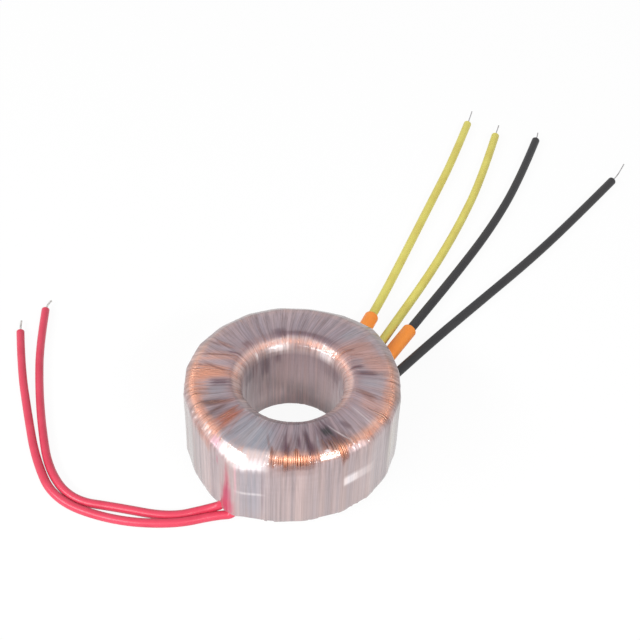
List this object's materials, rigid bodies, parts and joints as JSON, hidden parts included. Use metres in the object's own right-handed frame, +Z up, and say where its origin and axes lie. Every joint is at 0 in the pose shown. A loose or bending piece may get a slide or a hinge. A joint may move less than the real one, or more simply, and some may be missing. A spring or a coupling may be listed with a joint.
{
  "type": "toroidal transformer",
  "caption": "Small ring-core mains transformer wrapped in clear film, with a red pair of primary leads and yellow and black pairs of secondary leads.",
  "frame": {"origin": "centre of the ring on the surface that it stands on", "axes": "+Z up along the axis of the hole; the red leads leave at the left front (-X, -Y), the yellow and black leads at the right back (+X, +Y)"},
  "size_m": [0.206, 0.2004, 0.0274],
  "materials": {
    "core_steel": "satin",
    "polyester_tape": "satin",
    "enamelled_copper": "gloss",
    "pad_tape": "satin",
    "label_paper": "matt",
    "clear_film": "gloss",
    "solder": "satin",
    "red_insulation": "satin",
    "yellow_sleeving": "satin",
    "black_sleeving": "satin",
    "orange_sleeving": "satin",
    "tinned_strands": "satin",
    "winding_wire": "satin"
  },
  "bodies": {
    "root": {"strip_core": "core_steel", "core_tape": "polyester_tape", "primary_winding": "enamelled_copper", "barrier_film": "polyester_tape", "yellow_secondary": "enamelled_copper", "black_secondary": "enamelled_copper", "splice_pad": "pad_tape", "type_strip": "label_paper", "outer_film": "clear_film", "red_splice_outer": "solder", "red_splice_inner": "solder", "red_lead_outer": "red_insulation", "red_lead_inner": "red_insulation", "yellow_lead_left": "yellow_sleeving", "yellow_lead_right": "yellow_sleeving", "black_lead_left": "black_sleeving", "black_lead_right": "black_sleeving", "yellow_lead_collar": "orange_sleeving", "black_lead_collar": "orange_sleeving", "red_lead_outer_bare_end": "tinned_strands", "red_lead_inner_bare_end": "tinned_strands", "yellow_lead_left_bare_end": "winding_wire", "yellow_lead_right_bare_end": "winding_wire", "black_lead_left_bare_end": "winding_wire", "black_lead_right_bare_end": "winding_wire"}
  },
  "joints": []
}
